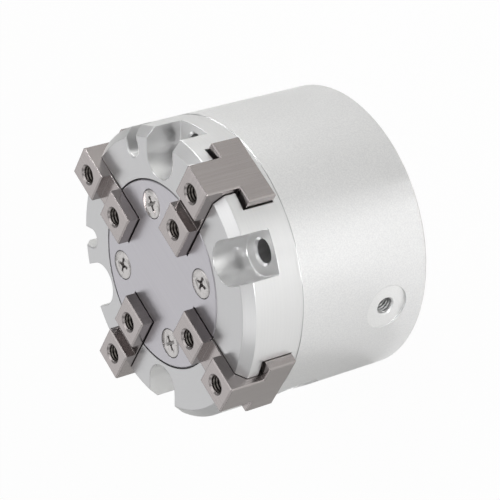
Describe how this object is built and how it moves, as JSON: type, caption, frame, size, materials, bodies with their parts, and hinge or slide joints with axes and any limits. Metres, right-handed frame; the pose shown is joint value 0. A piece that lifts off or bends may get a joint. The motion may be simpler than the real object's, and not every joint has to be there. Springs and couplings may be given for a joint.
{
  "type": "parallel gripper",
  "caption": "Round-bodied pneumatic centric gripper: tee-guided jaws slide radially in the front face, driven together by a wedge cam on a piston.",
  "frame": {"origin": "centre of the rear mounting face", "axes": "+Z along the body axis from the rear face towards the jaws; the jaws slide along +X, +Y, -X and -Y; the air ports are near +X and the sensor slots near -X"},
  "size_m": [0.0728, 0.0728, 0.0546],
  "materials": {
    "body_aluminium": "bead blasted behind the finish line, fine machined ahead of it, clear anodised",
    "plate_steel": "ground, faintly lilac grey",
    "screw_steel": "bright zinc plated",
    "jaw_steel": "hardened and ground",
    "cam_steel": "hardened and ground",
    "bolt_steel": "black oxide",
    "piston_aluminium": "turned, hard anodised",
    "cap_aluminium": "turned, clear anodised",
    "seal_rubber": "black nitrile",
    "bumper_rubber": "polyurethane",
    "magnet": "plastic-bonded ferrite",
    "guide_plastic": "acetal",
    "spring_steel": "phosphated spring steel"
  },
  "bodies": {
    "housing": {"body": "body_aluminium", "end_plate": "plate_steel", "end_plate_screws": "screw_steel", "rod_seal": "seal_rubber", "rod_seal_retainer": "screw_steel", "rear_cap": "cap_aluminium", "cap_o_ring": "seal_rubber", "cap_retaining_ring": "spring_steel"},
    "piston_group": {"piston": "piston_aluminium", "piston_seal": "seal_rubber", "magnet_ring": "magnet", "wear_ring": "guide_plastic", "front_bumper": "bumper_rubber", "rear_bumper": "bumper_rubber", "cam": "cam_steel", "cam_bolt": "bolt_steel"},
    "jaw_x_pos_slider": {"jaw_x_pos": "jaw_steel"},
    "jaw_y_pos_slider": {"jaw_y_pos": "jaw_steel"},
    "jaw_x_neg_slider": {"jaw_x_neg": "jaw_steel"},
    "jaw_y_neg_slider": {"jaw_y_neg": "jaw_steel"}
  },
  "joints": [
    {"name": "piston_slide", "type": "slide", "parent": "housing", "child": "piston_group", "axis": [0, 0, -1], "range_m": [0, 0.006]},
    {"name": "jaw_x_pos_slide", "type": "slide", "parent": "housing", "child": "jaw_x_pos_slider", "axis": [1, 0, 0], "range_m": [0, 0.006]},
    {"name": "jaw_y_pos_slide", "type": "slide", "parent": "housing", "child": "jaw_y_pos_slider", "axis": [0, 1, 0], "range_m": [0, 0.006]},
    {"name": "jaw_x_neg_slide", "type": "slide", "parent": "housing", "child": "jaw_x_neg_slider", "axis": [-1, 0, 0], "range_m": [0, 0.006]},
    {"name": "jaw_y_neg_slide", "type": "slide", "parent": "housing", "child": "jaw_y_neg_slider", "axis": [0, -1, 0], "range_m": [0, 0.006]}
  ],
  "couplings": [
    {"joint": "jaw_x_pos_slide", "follows": "piston_slide", "ratio": 1},
    {"joint": "jaw_y_pos_slide", "follows": "piston_slide", "ratio": 1},
    {"joint": "jaw_x_neg_slide", "follows": "piston_slide", "ratio": 1},
    {"joint": "jaw_y_neg_slide", "follows": "piston_slide", "ratio": 1}
  ]
}
